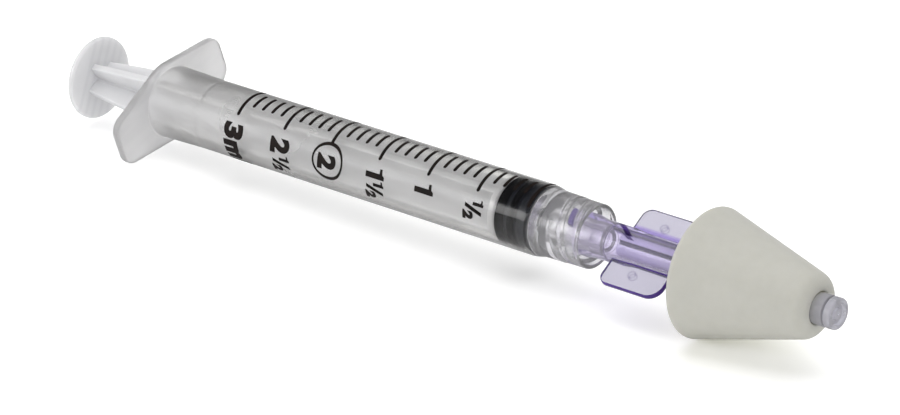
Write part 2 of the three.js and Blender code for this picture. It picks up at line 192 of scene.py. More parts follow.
soft_box("top_box", (-0.02, 0.06, 0.55), 0.80, 0.60, 3.15, mirrored=False)
soft_box("front_box", (-0.42, -0.52, 0.21), 0.50, 0.30, 1.5)
soft_box("back_box", (-0.20, 0.60, 0.30), 0.60, 0.40, 0.9, mirrored=False)
soft_box("fill_box", (0.50, -0.42, 0.30), 0.50, 0.40, 1.95, mirrored=False)

camera_data = bpy.data.cameras.new("camera")
camera_data.sensor_width, camera_data.lens = camera_sensor, camera_lens
camera_data.clip_start, camera_data.clip_end = 0.02, 20
camera = in_scene("camera", camera_data)
camera.location = camera_place
looking = (Matrix.Rotation(math.radians(camera_heading), 3, "Z")
           @ Matrix.Rotation(math.radians(90 - camera_tilt), 3, "X")
           @ Matrix.Rotation(math.radians(camera_roll), 3, "Z"))
camera.rotation_euler = looking.to_euler()
bpy.context.scene.camera = camera
bpy.context.scene.view_settings.view_transform = "Standard"


# ---- Syringe barrel ----
# One clear polypropylene moulding: tube, lozenge finger flange, retaining bead in the mouth,
# male luer cone and the collar with its two-start thread. It is the fixed part of the syringe.
barrel_radius, bore_radius = 4.975, 4.30
rear_radius, rear_taper, rear_taper_end = 5.145, -66.5, -59.5
shoulder, shoulder_radius = 0.5, 4.875
collar_start, collar_step, collar_front = 1.55, 5.1, 8.6
collar_floor, collar_root = 1.9, 3.95
luer_root_radius, luer_tip_radius, luer_tip = 2.255, 1.985, 10.9
channel_rear, channel_radius = 0.3, 1.05
bead_station, bead_reach, bead_height = -59.4, 0.35, 0.15
thread_depth, thread_base, thread_crest = 0.50, 1.10, 0.60
thread_first, thread_last, thread_middle = 3.3, 8.2, 5.75
thread_lead, thread_starts, thread_step = 5.0, 2, 0.08
flange_rear, flange_front, flange_round = -68.7, -67.5, 0.32
flange_half_length, flange_half_width, flange_end_half = 11.4, 6.15, 3.4
flange_end_round, flange_side_round = 2.2, 6.0
flange_lean = 20.4
barrel_facets = 192


def rounded(points, steps=4):
    """An outline with its corners rounded. Each point is (x, y, radius of its corner)."""
    outline = []
    for i, (x, y, radius) in enumerate(points):
        here = Vector((x, y))
        if not radius:
            outline.append((x, y))
            continue
        before = (Vector(points[i - 1][:2]) - here).normalized()
        after = (Vector(points[(i + 1) % len(points)][:2]) - here).normalized()
        bisector = before + after
        if bisector.length < 1e-6:
            outline.append((x, y))
            continue
        half = math.acos(max(-1, min(1, before.dot(after)))) / 2
        centre = here + bisector.normalized() * radius / math.sin(half)
        first = here + before * radius / math.tan(half) - centre
        last = here + after * radius / math.tan(half) - centre
        sweep = first.angle_signed(last)
        for k in range(steps + 1):
            arm = first.copy()
            arm.rotate(Matrix.Rotation(-sweep * k / steps, 2))
            outline.append(tuple(centre + arm))
    return outline


def turned(name, outline, facets=160):
    """A closed solid turned about the syringe's axis from (station, radius) points in mm.
    A radius is a number, or a list of one radius for each facet."""
    around = 2 * math.pi * np.arange(facets) / facets
    made = bmesh.new()
    rings = []
    for station, radius in outline:
        x = zero_line + station * mm
        if np.isscalar(radius) and radius < 1e-6:
            rings.append([made.verts.new((x, 0, axis_height))])
            continue
        reach = np.broadcast_to(radius, facets) * mm
        rings.append([made.verts.new((x, r * math.cos(a), axis_height + r * math.sin(a)))
                      for a, r in zip(around, reach)])
    for here, there in zip(rings, rings[1:] + rings[:1]):
        if len(here) == len(there) == 1:
            continue
        for i in range(facets):
            j = (i + 1) % facets
            corners = dict.fromkeys([here[i % len(here)], here[j % len(here)],
                                     there[j % len(there)], there[i % len(there)]])
            made.faces.new(list(corners))
    bmesh.ops.recalc_face_normals(made, faces=made.faces)
    mesh = bpy.data.meshes.new(name)
    made.to_mesh(mesh)
    made.free()
    return in_scene(name, mesh)


def station_of(point):
    """A point's place along the axis, in mm in front of the 0 line."""
    return (point.x - zero_line) / mm


def crisp(piece, degrees=32):
    """Smooth shading that keeps moulded edges sharper than this angle."""
    piece.data.shade_smooth()
    piece.data.set_sharp_from_angle(angle=math.radians(degrees))


def dress(piece, *materials):
    """Puts materials in a piece's slots, in order."""
    piece.data.materials.clear()
    for material in materials:
        piece.data.materials.append(material)


def through_modifiers(piece):
    """Makes the piece's modifiers part of its mesh, and takes them off."""
    graph = bpy.context.evaluated_depsgraph_get()
    mesh = bpy.data.meshes.new_from_object(piece.evaluated_get(graph), depsgraph=graph)
    piece.modifiers.clear()
    piece.data = mesh


def set_inputs(modifier, **values):
    """Sets a Geometry Nodes modifier's inputs, found by name and set by identifier."""
    for item in modifier.node_group.interface.items_tree:
        if item.item_type == "SOCKET" and item.in_out == "INPUT" and item.name in values:
            modifier[item.identifier] = values[item.name]


def geometry_tree(name, **inputs):
    """A Geometry Nodes tree with named inputs: numbers, or materials where None is given."""
    tree = bpy.data.node_groups.new(name, "GeometryNodeTree")
    tree.interface.new_socket("Geometry", in_out="INPUT", socket_type="NodeSocketGeometry")
    kinds = {float: "NodeSocketFloat", int: "NodeSocketInt"}
    for key, value in inputs.items():
        kind = kinds.get(type(value), "NodeSocketMaterial")
        socket = tree.interface.new_socket(key, in_out="INPUT", socket_type=kind)
        if value is not None:
            socket.default_value = value
    tree.interface.new_socket("Geometry", in_out="OUTPUT", socket_type="NodeSocketGeometry")
    entry = tree.nodes.new("NodeGroupInput")
    return tree, entry.outputs


def end_tree(tree, geometry, material):
    """Realize Instances, then Set Material, then the tree's output."""
    real = add(tree, "GeometryNodeRealizeInstances", {0: geometry})
    painted = add(tree, "GeometryNodeSetMaterial",
                  {"Geometry": real.outputs[0], "Material": material})
    add(tree, "NodeGroupOutput", {0: painted.outputs[0]})


flange_corners = [
    (0, flange_half_width, flange_side_round),
    (-flange_half_length, flange_end_half, flange_end_round),
    (-flange_half_length, -flange_end_half, flange_end_round),
    (0, -flange_half_width, flange_side_round),
    (flange_half_length, -flange_end_half, flange_end_round),
    (flange_half_length, flange_end_half, flange_end_round),
]


def flange_reach(inset):
    """The flange's edge radius at each facet, drawn in by an inset."""
    outline = np.array(rounded(flange_corners, steps=24))
    angle = np.arctan2(outline[:, 1], outline[:, 0])
    order = np.argsort(angle)
    angle, outline = angle[order], outline[order]
    around = 2 * math.pi * np.arange(barrel_facets) / barrel_facets - math.radians(flange_lean)
    around = (around + math.pi) % (2 * math.pi) - math.pi
    spokes = []
    loop = np.vstack([outline, outline[:1]])
    for a in around:
        i = np.searchsorted(angle, a) - 1
        p, q = (loop[i], loop[i + 1]) if i >= 0 else (loop[-2], loop[0])
        d = q - p
        spokes.append((p[0] * d[1] - p[1] * d[0]) / (math.cos(a) * d[1] - math.sin(a) * d[0]))
    return np.array(spokes) - inset


flange_edge = []
for end, inwards, angles in ((flange_front, -1, range(0, 91, 18)),
                             (flange_rear, 1, range(90, -1, -18))):
    for a in map(math.radians, angles):
        flange_edge.append((end + inwards * flange_round * (1 - math.cos(a)),
                            flange_reach(flange_round * (1 - math.sin(a)))))
front_half = rounded([
    (flange_front, 5.6, 0), (flange_front, rear_radius, 0.30), (rear_taper, rear_radius, 0.6),
    (rear_taper_end, barrel_radius, 0), (-0.2, barrel_radius, 0.25),
    (shoulder, shoulder_radius, 0.3), (collar_start, 4.61, 0.25), (collar_step, 4.55, 0.04),
    (collar_step, 4.48, 0.03), (collar_front, 4.45, 0.2), (collar_front, collar_root, 0.15),
    (collar_front - 0.2, collar_root, 0),
])
thread_rows = [(float(x), collar_root)
               for x in np.arange(thread_last + 0.1, thread_first - 0.1, -thread_step)]
cavity = rounded([
    (3.1, collar_root, 0), (collar_floor, collar_root, 0.25),
    (collar_floor, luer_root_radius, 0.30), (luer_tip, luer_tip_radius, 0.15),
    (luer_tip, channel_radius, 0.10), (channel_rear, channel_radius, 0.12),
    (channel_rear, bore_radius, 0.45), (-59.0, bore_radius, 0),
])
bead = [(bead_station + bead_reach * math.cos(math.radians(a)),
         bore_radius - bead_height * math.sin(math.radians(a))) for a in range(0, 181, 30)]
mouth = [(-68.25, bore_radius), (-68.66, 4.72), (flange_rear, 4.80)]
barrel = turned(
    "clear_barrel",
    list(reversed(flange_edge)) + front_half + thread_rows + cavity + bead + mouth,
    barrel_facets,
)


def position(tree):
    """The X, Y and Z of each point of a Geometry Nodes tree."""
    return split(tree, add(tree, "GeometryNodeInputPosition").outputs[0])


def joined(tree, x, y, z):
    """A vector from its X, Y and Z."""
    return add(tree, "ShaderNodeCombineXYZ", {"X": x, "Y": y, "Z": z}).outputs[0]


def long_side(tree, a, b):
    """How far a point is from an axis, from its two distances across it."""
    return sum_of(tree, "SQRT", sum_of(tree, "ADD", sum_of(tree, "MULTIPLY", a, a),
                                       sum_of(tree, "MULTIPLY", b, b)))


thread_tree, given = geometry_tree("luer_thread", Lead=thread_lead * mm, Starts=thread_starts,
                                   Depth=thread_depth * mm, Base=thread_base * mm,
                                   Crest=thread_crest * mm, First=0.0, Last=0.0, Middle=0.0,
                                   Root=collar_root * mm, Axis=0.0, Material=None)
tree = thread_tree
x, y, z = position(tree)
rise = sum_of(tree, "SUBTRACT", z, given["Axis"])
turn = sum_of(tree, "DIVIDE", sum_of(tree, "ARCTAN2", rise, y), 2 * math.pi)
pitch = sum_of(tree, "DIVIDE", given["Lead"], given["Starts"])
climb = sum_of(tree, "SUBTRACT", sum_of(tree, "SUBTRACT", x, given["Middle"]),
               sum_of(tree, "MULTIPLY", turn, given["Lead"]))
from_ridge = sum_of(tree, "ABSOLUTE", sum_of(
    tree, "WRAP", climb, sum_of(tree, "MULTIPLY", pitch, 0.5),
    sum_of(tree, "MULTIPLY", pitch, -0.5)))
flank = sum_of(tree, "SUBTRACT", given["Base"], given["Crest"])
ridge = sum_of(tree, "DIVIDE", sum_of(
    tree, "SUBTRACT", sum_of(tree, "MULTIPLY", given["Base"], 0.5), from_ridge),
    sum_of(tree, "MULTIPLY", flank, 0.5))
fade_in = sum_of(tree, "DIVIDE", sum_of(tree, "SUBTRACT", x, given["First"]), 0.4 * mm)
fade_out = sum_of(tree, "DIVIDE", sum_of(tree, "SUBTRACT", given["Last"], x), 0.4 * mm)
height = sum_of(tree, "MINIMUM", sum_of(tree, "MINIMUM", ridge, 1.0),
                sum_of(tree, "MINIMUM", fade_in, fade_out))
height = sum_of(tree, "MULTIPLY", sum_of(tree, "MAXIMUM", height, 0.0), given["Depth"])
radius = long_side(tree, y, rise)
off_root = sum_of(tree, "ABSOLUTE", sum_of(tree, "SUBTRACT", radius, given["Root"]))
on_root = sum_of(tree, "LESS_THAN", off_root, 0.02 * mm)
inward = add(tree, "ShaderNodeVectorMath", {
    0: joined(tree, 0.0, y, rise),
    "Scale": sum_of(tree, "DIVIDE", sum_of(tree, "MULTIPLY", height, -1.0), radius),
}, operation="SCALE")
cut = add(tree, "GeometryNodeSetPosition",
          {"Geometry": given["Geometry"], "Selection": on_root, "Offset": inward.outputs[0]})
end_tree(tree, cut.outputs[0], given["Material"])


def ranged(tree, value, start, end, low=0.0, high=1.0):
    """Goes from low to high as a value goes from start to end, and stays there outside."""
    return add(tree, "ShaderNodeMapRange", {
        "Value": value, "From Min": start, "From Max": end, "To Min": low, "To Max": high,
    }).outputs[0]


def plus(tree, base, mask, amount):
    """A value with an amount of a mask added."""
    return sum_of(tree, "ADD", base, sum_of(tree, "MULTIPLY", mask, amount))


def surface_group():
    """What every moulded face shows: cloudiness, fine grain and scuffs."""
    group = bpy.data.node_groups.new("moulded_face", "ShaderNodeTree")
    sockets = group.interface
    sockets.new_socket("Place", in_out="INPUT", socket_type="NodeSocketVector")
    for key in ("Cloud scale", "Grain scale", "Scuff scale"):
        sockets.new_socket(key, in_out="INPUT", socket_type="NodeSocketFloat")
    for key in ("Cloud", "Grain", "Scuffs"):
        sockets.new_socket(key, in_out="OUTPUT", socket_type="NodeSocketFloat")
    entry = group.nodes.new("NodeGroupInput").outputs
    cloud = add(group, "ShaderNodeTexNoise",
                {"Vector": entry["Place"], "Scale": entry["Cloud scale"], "Detail": 3.0})
    grain = add(group, "ShaderNodeTexNoise",
                {"Vector": entry["Place"], "Scale": entry["Grain scale"], "Detail": 2.0})
    # scuffs: thin lines along the axis, broken up by a second noise
    long_way = add(group, "ShaderNodeMapping", {
        "Vector": entry["Place"], "Scale": (0.12, 1.0, 1.0)})
    lines = add(group, "ShaderNodeTexNoise", {
        "Vector": long_way.outputs[0], "Scale": entry["Scuff scale"], "Detail": 5.0,
        "Roughness": 0.65})
    near = sum_of(group, "ABSOLUTE", sum_of(group, "SUBTRACT", lines.outputs["Fac"], 0.5))
    thin = ranged(group, near, 0.0, 0.012, 1.0, 0.0)
    patch = add(group, "ShaderNodeTexNoise", {"Vector": entry["Place"], "Scale": 170.0})
    broken = ranged(group, patch.outputs["Fac"], 0.5, 0.62)
    add(group, "NodeGroupOutput", {
        "Cloud": cloud.outputs["Fac"], "Grain": grain.outputs["Fac"],
        "Scuffs": sum_of(group, "MULTIPLY", thin, broken)})
    return group


moulded_face = surface_group()


def moulded(tree, cloud=120.0, grain=2500.0, scuff=260.0):
    """The moulded_face group on the piece's own coordinates."""
    return add(tree, "ShaderNodeGroup", {
        "Place": own_place(tree), "Cloud scale": cloud, "Grain scale": grain,
        "Scuff scale": scuff}, node_tree=moulded_face).outputs


def let_lamps_through(tree, glass, tint, dye=None):
    """Clear plastic that lets lamps reach what is behind it, tinted. A dye is the colour and
    density that a thick wall shows."""
    to_lamp = add(tree, "ShaderNodeLightPath").outputs["Is Shadow Ray"]
    clear = add(tree, "ShaderNodeBsdfTransparent", {"Color": (*tint, 1)})
    both = add(tree, "ShaderNodeMixShader", {0: to_lamp, 1: glass, 2: clear.outputs[0]})
    end = add(tree, "ShaderNodeOutputMaterial", {"Surface": both.outputs[0]})
    if dye:
        depth = add(tree, "ShaderNodeVolumeAbsorption", {
            "Color": (*dye[0], 1), "Density": dye[1]})
        tree.links.new(depth.outputs[0], end.inputs["Volume"])


def plastic(tree, colour, roughness, normal, **own):
    """A plastic's shader. Its own constants are given with _ for each space."""
    return add(tree, "ShaderNodeBsdfPrincipled", {
        "Base Color": colour, "Roughness": roughness, "Normal": normal,
        **{key.replace("_", " "): value for key, value in own.items()}}).outputs[0]


clear_plastic, tree = new_material("clear_polypropylene")
face = moulded(tree, cloud=90.0)
along = split(tree, own_place(tree))["X"]
rough = plus(tree, ranged(tree, face["Cloud"], 0.3, 0.7, 0.22, 0.27), face["Scuffs"], 0.01)
to_rear = ranged(tree, along, zero_line - 30.0 * mm, zero_line - 62.0 * mm)
rough = plus(tree, rough, to_rear, 0.06)
# the tube is clearest round the stopper
to_front = ranged(tree, along, zero_line - 12.0 * mm, zero_line - 9.5 * mm)
rough = sum_of(tree, "MULTIPLY", rough, sum_of(
    tree, "SUBTRACT", 1.0, sum_of(tree, "MULTIPLY", to_front, 0.5)))
shader = plastic(
    tree,
    colours(tree, face["Cloud"], (0.3, (0.972, 0.967, 0.957)), (0.7, (0.99, 0.985, 0.975))),
    rough, relief_of(tree, plus(tree, face["Grain"], face["Cloud"], 3.0), 0.04, 0.02),
    IOR=1.38, Transmission_Weight=1.0)
let_lamps_through(tree, shader, (0.99, 0.99, 0.985))

# the mould leaves the flange frosted and slightly milky
frosted_plastic, tree = new_material("frosted_polypropylene")
face = moulded(tree, cloud=140.0)
centred = add(tree, "ShaderNodeMapping", {
    "Vector": own_place(tree), "Location": (0, 0, -axis_height)})
turned_flat = add(tree, "ShaderNodeMapping", {
    "Vector": centred.outputs[0], "Rotation": (math.radians(-flange_lean), 0, 0)})
drawn = add(tree, "ShaderNodeMapping", {
    "Vector": turned_flat.outputs[0], "Scale": (1, 0.15, 1)})
flow = add(tree, "ShaderNodeTexNoise", {
    "Vector": drawn.outputs[0], "Scale": 700.0, "Detail": 3.0}).outputs["Fac"]
shader = plastic(
    tree, colours(tree, flow, (0.35, (0.80, 0.795, 0.80)), (0.65, (0.85, 0.845, 0.845))),
    plus(tree, ranged(tree, face["Cloud"], 0.3, 0.7, 0.34, 0.42), face["Scuffs"], 0.06),
    relief_of(tree, plus(tree, face["Grain"], flow, 2.0), 0.10, 0.02),
    IOR=1.49, Transmission_Weight=0.80)
let_lamps_through(tree, shader, (0.93, 0.93, 0.935))

# the collar is clearer, with a little of the same haze
collar_plastic, tree = new_material("hazy_collar_polypropylene")
face = moulded(tree, cloud=260.0, scuff=420.0)
shader = plastic(
    tree,
    colours(tree, face["Cloud"], (0.3, (0.94, 0.935, 0.955)), (0.7, (0.97, 0.965, 0.98))),
    plus(tree, ranged(tree, face["Cloud"], 0.3, 0.7, 0.13, 0.19), face["Scuffs"], 0.08),
    relief_of(tree, plus(tree, face["Grain"], face["Cloud"], 5.0), 0.10, 0.02),
    IOR=1.46, Transmission_Weight=0.93)
let_lamps_through(tree, shader, (0.97, 0.97, 0.975))

cutter = barrel.modifiers.new("luer_thread", "NODES")
cutter.node_group = thread_tree
set_inputs(cutter, First=zero_line + thread_first * mm, Last=zero_line + thread_last * mm,
           Middle=zero_line + thread_middle * mm, Axis=axis_height, Material=clear_plastic)
through_modifiers(barrel)
barrel.data.materials.append(frosted_plastic)
barrel.data.materials.append(collar_plastic)
for panel in barrel.data.polygons:
    station = station_of(panel.center)
    panel.material_index = 1 if station < flange_front + 0.05 else 2 if station > 0.3 else 0
crisp(barrel)
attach(barrel, "barrel")
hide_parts("syringe_barrel")


# ---- Printed scale ----
# Black ink screen-printed on the outside of the barrel: thirty-one lines 0.1 mL apart, a long
# one at each half millilitre, and the numbers beside the long lines.
line_pitch, line_count, long_every = 1.7215, 31, 5
line_width, short_line, long_line, line_centre = 0.53, 3.08, 6.60, 1.20
ink_lift, ink_thickness = 0.016, 0.012
bold, small_bold = 0.060, 0.080
slash_width = 0.54
ring_centre, ring_radius, ring_points = (-34.40, 6.85), 2.76, 96
slice_width = 0.25


def on_sheet(station, run):
    """A point of the flat print: its station and its place round the barrel, in mm."""
    return zero_line + station * mm, run * mm, 0


def between(ends, part):
    """A value part of the way from the first of two ends to the second."""
    return ends[0] + part * (ends[1] - ends[0])


def flat_glyph(text, stations, run, weight):
    """A glyph's flat outline filled in, fitted between two stations and two places round the
    barrel, in mm. Its top points along the axis and it reads round the barrel."""
    curve = bpy.data.curves.new("glyph", "FONT")
    curve.body, curve.size, curve.offset, curve.resolution_u = text, 1.0, weight, 6
    holder = in_scene("glyph", curve)
    graph = bpy.context.evaluated_depsgraph_get()
    mesh = bpy.data.meshes.new_from_object(holder.evaluated_get(graph), depsgraph=graph)
    bpy.data.objects.remove(holder)
    points = np.array([v.co[:2] for v in mesh.vertices])
    low, high = points.min(0), points.max(0)
    for v, (a, b) in zip(mesh.vertices, (points - low) / (high - low)):
        v.co = on_sheet(between(stations, b), between(run, a))
    return mesh


def flat_one(stations, run):
    """The numeral 1: a thick stem with a short flag."""
    shape = [(0.47, 0), (1, 0), (1, 1), (0.66, 1), (0.50, 0.89), (0, 0.845), (0, 0.715),
             (0.47, 0.735)]
    mesh = bpy.data.meshes.new("one")
    mesh.from_pydata([on_sheet(between(stations, b), between(run, a)) for a, b in shape],
                     [], [tuple(range(len(shape)))])
    return mesh


def flat_band(outer, inner):
    """A flat ring between two outlines with as many points, in mm."""
    mesh = bpy.data.meshes.new("band")
    count = len(outer)
    mesh.from_pydata([on_sheet(*p) for p in [*outer, *inner]], [],
                     [(i, (i + 1) % count, count + (i + 1) % count, count + i)
                      for i in range(count)])
    return mesh


glyphs = [
    flat_glyph("3", (-53.40, -49.88), (5.64, 7.98), bold),
    flat_glyph("m", (-53.50, -50.85), (8.25, 11.85), bold),
    flat_glyph("l", (-53.50, -49.88), (12.20, 12.95), bold),
    flat_glyph("2", (-44.80, -41.30), (5.70, 7.98), bold),
    flat_glyph("2", (-36.15, -32.85), (5.90, 8.12), bold),
    flat_one((-27.45, -24.20), (5.60, 7.12)),
    flat_one((-18.83, -15.55), (5.55, 7.06)),
]
for top, start in ((-41.37, 8.15), (-24.20, 7.35), (-6.90, 5.55)):
    glyphs.append(flat_one((top - 1.85, top), (start, start + 0.88)))
    glyphs.append(flat_glyph("2", (top - 3.42, top - 1.60), (start + 1.75, start + 3.05),
                             small_bold))
    slash = [(top - 3.1, start + 0.72), (top - 0.2, start + 1.62)]
    glyphs.append(flat_band(slash, [(station, run + slash_width) for station, run in slash]))
ring_outer, ring_inner = [], []
for k in range(ring_points):
    a = 2 * math.pi * k / ring_points
    ring_width = 0.32 + 0.20 * math.sin(a) ** 2
    for edge, reach in ((ring_outer, ring_radius), (ring_inner, ring_radius - ring_width)):
        edge.append((ring_centre[0] + reach * math.cos(a),
                     ring_centre[1] + reach * math.sin(a)))
glyphs.append(flat_band(ring_outer, ring_inner))

flat = bmesh.new()
for glyph in glyphs:
    flat.from_mesh(glyph)
    bpy.data.meshes.remove(glyph)
for s in np.arange(4.0, 14.0, slice_width):
    bmesh.ops.bisect_plane(flat, geom=[*flat.verts, *flat.edges, *flat.faces],
                           plane_co=(0, s * mm, 0), plane_no=(0, 1, 0), dist=1e-8)
bmesh.ops.triangulate(flat, faces=flat.faces)
print_mesh = bpy.data.meshes.new("printed_scale")
flat.to_mesh(print_mesh)
flat.free()
scale_print = in_scene("printed_scale", print_mesh)

line_tree = bpy.data.node_groups.new("round_ended_line", "GeometryNodeTree")
for key in ("Length", "Width"):
    line_tree.interface.new_socket(key, in_out="INPUT", socket_type="NodeSocketFloat")
line_tree.interface.new_socket("Geometry", in_out="OUTPUT", socket_type="NodeSocketGeometry")
tree = line_tree
given = tree.nodes.new("NodeGroupInput").outputs
strip = add(tree, "GeometryNodeMeshGrid", {
    "Size X": given["Width"], "Size Y": 2.0, "Vertices X": 3, "Vertices Y": 33})
x, y, z = position(tree)
half_length = sum_of(tree, "MULTIPLY", given["Length"], 0.5)
half_width = sum_of(tree, "MULTIPLY", given["Width"], 0.5)
along = sum_of(tree, "MULTIPLY", half_length,
               sum_of(tree, "SINE", sum_of(tree, "MULTIPLY", y, math.pi / 2)))
into_end = sum_of(tree, "DIVIDE", sum_of(
    tree, "SUBTRACT", sum_of(tree, "ABSOLUTE", along),
    sum_of(tree, "SUBTRACT", half_length, half_width)), half_width)
into_end = sum_of(tree, "MINIMUM", sum_of(tree, "MAXIMUM", into_end, 0.0), 0.985)
narrow = sum_of(tree, "SQRT", sum_of(
    tree, "SUBTRACT", 1.0, sum_of(tree, "MULTIPLY", into_end, into_end)))
shaped = add(tree, "GeometryNodeSetPosition", {
    "Geometry": strip.outputs[0],
    "Position": joined(tree, sum_of(tree, "MULTIPLY", x, narrow), along, 0.0)})
add(tree, "NodeGroupOutput", {0: shaped.outputs[0]})

scale_tree, given = geometry_tree(
    "barrel_scale", Pitch=line_pitch * mm, Lines=line_count, Long_every=long_every,
    Short=short_line * mm, Long=long_line * mm, Width=line_width * mm,
    Centre=line_centre * mm, Zero=0.0, Radius=(barrel_radius + ink_lift) * mm, Axis=0.0,
    Material=None)
tree = scale_tree
row = add(tree, "GeometryNodeMeshLine", {
    "Count": given["Lines"],
    "Start Location": joined(tree, given["Zero"], given["Centre"], 0.0),
    "Offset": joined(tree, sum_of(tree, "MULTIPLY", given["Pitch"], -1.0), 0.0, 0.0)})
number = add(tree, "GeometryNodeInputIndex").outputs[0]
is_short = sum_of(tree, "GREATER_THAN",
                  sum_of(tree, "MODULO", number, given["Long_every"]), 0.5)
is_long = sum_of(tree, "SUBTRACT", 1.0, is_short)
parts = [given["Geometry"]]
for length, chosen in ((given["Short"], is_short), (given["Long"], is_long)):
    line = add(tree, "GeometryNodeGroup", node_tree=line_tree)
    tree.links.new(length, line.inputs["Length"])
    tree.links.new(given["Width"], line.inputs["Width"])
    parts.append(add(tree, "GeometryNodeInstanceOnPoints", {
        "Points": row.outputs[0], "Selection": chosen, "Instance": line.outputs[0]}).outputs[0])
together = tree.nodes.new("GeometryNodeJoinGeometry")
for part in reversed(parts):
    tree.links.new(part, together.inputs[0])
laid = add(tree, "GeometryNodeRealizeInstances", {0: together.outputs[0]})
x, y, z = position(tree)
round_by = sum_of(tree, "DIVIDE", y, given["Radius"])
aside = sum_of(tree, "MULTIPLY", sum_of(tree, "MULTIPLY", given["Radius"], -1.0),
               sum_of(tree, "SINE", round_by))
wrapped = add(tree, "GeometryNodeSetPosition", {
    "Geometry": laid.outputs[0],
    "Position": joined(tree, x, aside, sum_of(
        tree, "ADD", given["Axis"],
        sum_of(tree, "MULTIPLY", given["Radius"], sum_of(tree, "COSINE", round_by))))})
end_tree(tree, wrapped.outputs[0], given["Material"])

ink, tree = new_material("scale_ink")
face = moulded(tree, cloud=900.0, grain=9000.0, scuff=700.0)
shader = plastic(
    tree,
    colours(tree, face["Cloud"], (0.25, (0.004, 0.003, 0.003)), (0.75, (0.016, 0.010, 0.008))),
    ranged(tree, face["Grain"], 0.0, 1.0, 0.45, 0.70),
    relief_of(tree, face["Grain"], 0.25, 0.01), Specular_IOR_Level=0.15)
finish_material(tree, shader)

wrap = scale_print.modifiers.new("barrel_scale", "NODES")
wrap.node_group = scale_tree
set_inputs(wrap, Zero=zero_line, Axis=axis_height, Material=ink)
film = scale_print.modifiers.new("film", "SOLIDIFY")
film.thickness, film.offset = ink_thickness * mm, 0
through_modifiers(scale_print)
crisp(scale_print)
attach(scale_print, "barrel")


# ---- Plunger rod ----
# A milky polypropylene moulding: thumb rest with five low grip bars, a cross of two tapering
# fins, a guide disc, and the button that snaps into the stopper.
rod_angle = 35
fin_thickness, fin_edge = 1.0, 0.15
thumb_rear, thumb_front, thumb_radius = -82.55, -81.6, 5.97
fin_rear, fin_taper_end, fin_front = -81.95, -71.3, -6.3
fin_rear_radius, fin_radius = 2.75, 3.95
guide_rear, guide_front = -6.8, -5.8
snap_neck_radius, button_rear, button_radius, button_front = 1.3, -4.3, 2.0, -2.6
grip_count, grip_pitch, grip_width, grip_height = 5, 1.45, 0.55, 0.25
grip_reach, grip_sink, grip_lean = 5.22, 0.15, -21.4


def plate_piece(name, outline, thickness, roll, edge):
    """A flat plate through the axis from (station, height) points in mm, its edges rounded,
    rolled about the axis by degrees from upright, with its top towards -Y."""
    made = bmesh.new()
    corners = [made.verts.new((zero_line + s * mm, -thickness * mm / 2, h * mm))
               for s, h in outline]
    side = made.faces.new(corners)
    grown = bmesh.ops.extrude_face_region(made, geom=[side])["geom"]
    moved = [g for g in grown if isinstance(g, bmesh.types.BMVert)]
    bmesh.ops.translate(made, verts=moved, vec=(0, thickness * mm, 0))
    bmesh.ops.recalc_face_normals(made, faces=made.faces)
    rims = [e for e in made.edges if len({round(v.co.y, 7) for v in e.verts}) == 1]
    if edge:
        bmesh.ops.bevel(made, geom=rims, offset=edge * mm, segments=3, affect="EDGES",
                        profile=0.5, clamp_overlap=True)
    bmesh.ops.rotate(made, verts=made.verts, cent=(0, 0, 0),
                     matrix=Matrix.Rotation(math.radians(roll), 3, "X"))
    bmesh.ops.translate(made, verts=made.verts, vec=(0, 0, axis_height))
    mesh = bpy.data.meshes.new(name)
    made.to_mesh(mesh)
    made.free()
    return in_scene(name, mesh)


def combined(piece, *others, operation="UNION"):
    """Joins closed pieces into one moulding, or cuts them out of it with DIFFERENCE."""
    for other in others:
        joint = piece.modifiers.new("joint", "BOOLEAN")
        joint.operation, joint.solver, joint.object = operation, "EXACT", other
        through_modifiers(piece)
        bpy.data.objects.remove(other)
    return piece


rod = turned("plunger_rod_milky", rounded([
    (thumb_rear, 0, 0), (thumb_rear, thumb_radius, 0.35), (thumb_front, thumb_radius, 0.35),
    (thumb_front, 0.9, 0.3), (guide_rear, 0.9, 0.1), (guide_rear, fin_radius, 0.2),
    (guide_front, fin_radius, 0.2), (guide_front, snap_neck_radius, 0.1),
    (button_rear, snap_neck_radius, 0.1), (button_rear, button_radius, 0.2),
    (-3.45, button_radius, 0.2), (button_front, 1.2, 0.2), (button_front, 0, 0),
]), 128)
fin_outline = [
    (fin_rear, -fin_rear_radius), (fin_taper_end, -fin_radius), (fin_front, -fin_radius),
    (fin_front, fin_radius), (fin_taper_end, fin_radius), (fin_rear, fin_rear_radius)]
fins = [plate_piece("fin", fin_outline, fin_thickness, rod_angle + turn, fin_edge)
        for turn in (0, 90)]
rod = combined(rod, *fins)

grip_tree, given = geometry_tree(
    "grip_bars", Count=grip_count, Pitch=grip_pitch * mm, Width=grip_width * mm,
    Height=grip_height * mm, Reach=grip_reach * mm, Sink=grip_sink * mm,
    Lean=math.radians(grip_lean), Face=0.0, Axis=0.0, Material=None)
tree = grip_tree
number = add(tree, "GeometryNodeInputIndex").outputs[0]
middle = sum_of(tree, "MULTIPLY", sum_of(tree, "SUBTRACT", given["Count"], 1.0), 0.5)
row = add(tree, "GeometryNodeMeshLine", {"Count": given["Count"]})
across = sum_of(tree, "MULTIPLY", sum_of(tree, "SUBTRACT", number, middle), given["Pitch"])
spread = add(tree, "GeometryNodeSetPosition", {
    "Geometry": row.outputs[0], "Position": joined(tree, 0.0, across, 0.0)})
x, y, z = position(tree)
half_chord = sum_of(tree, "SQRT", sum_of(
    tree, "SUBTRACT", sum_of(tree, "MULTIPLY", given["Reach"], given["Reach"]),
    sum_of(tree, "MULTIPLY", y, y)))
thick = sum_of(tree, "ADD", given["Height"], given["Sink"])
bar = add(tree, "GeometryNodeMeshCube", {"Size": joined(tree, thick, given["Width"], 2.0)})
